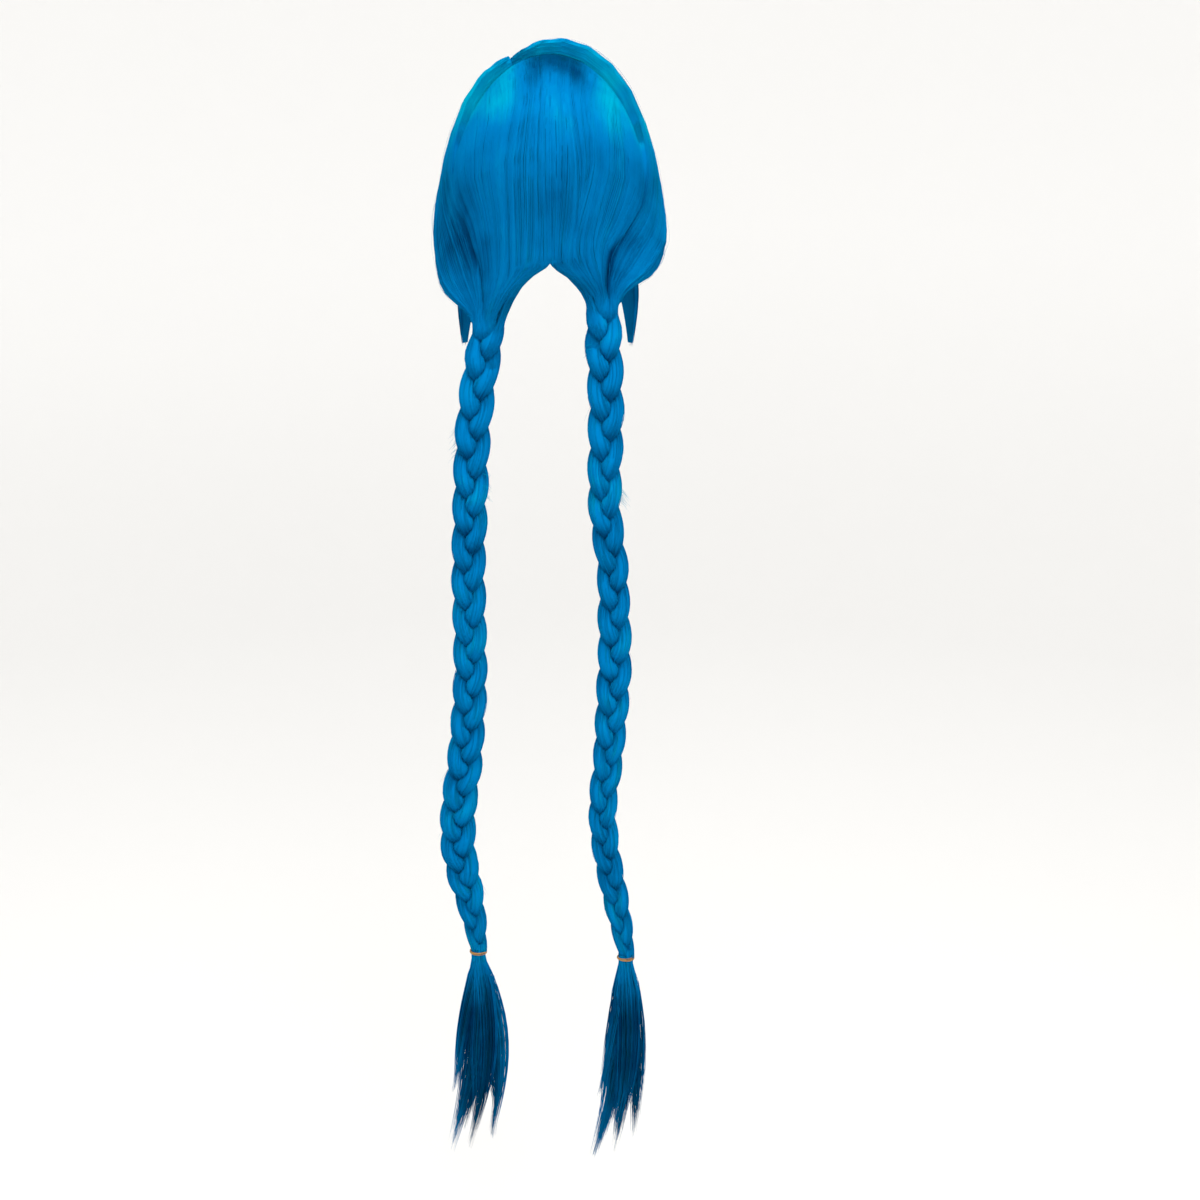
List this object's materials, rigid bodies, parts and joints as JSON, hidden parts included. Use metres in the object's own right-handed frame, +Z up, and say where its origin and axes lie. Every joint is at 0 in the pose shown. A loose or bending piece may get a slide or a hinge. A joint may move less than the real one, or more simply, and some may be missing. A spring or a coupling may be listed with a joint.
{
  "type": "pigtail wig",
  "caption": "Long wig with a side parting, a short fringe and two braids from the nape that end in elastic ties and loose tails.",
  "frame": {"origin": "inside top of the cap, where the crown of the head sits", "axes": "+Z up along the head's axis, the face looks along -Y and the nape along +Y, +X is the wearer's left"},
  "size_m": [0.2285, 0.2654, 1.092],
  "materials": {
    "hair": "satin",
    "cap_net": "matte",
    "elastic": "matte"
  },
  "bodies": {
    "root": {"wig_cap": "cap_net", "back_hair": "hair", "left_side_hair": "hair", "right_side_hair": "hair", "fringe": "hair", "left_face_lock": "hair", "right_face_lock": "hair", "left_braid_strand_1": "hair", "left_braid_strand_2": "hair", "left_braid_strand_3": "hair", "right_braid_strand_1": "hair", "right_braid_strand_2": "hair", "right_braid_strand_3": "hair", "left_hair_tie": "elastic", "right_hair_tie": "elastic", "left_tail": "hair", "right_tail": "hair"}
  },
  "joints": []
}
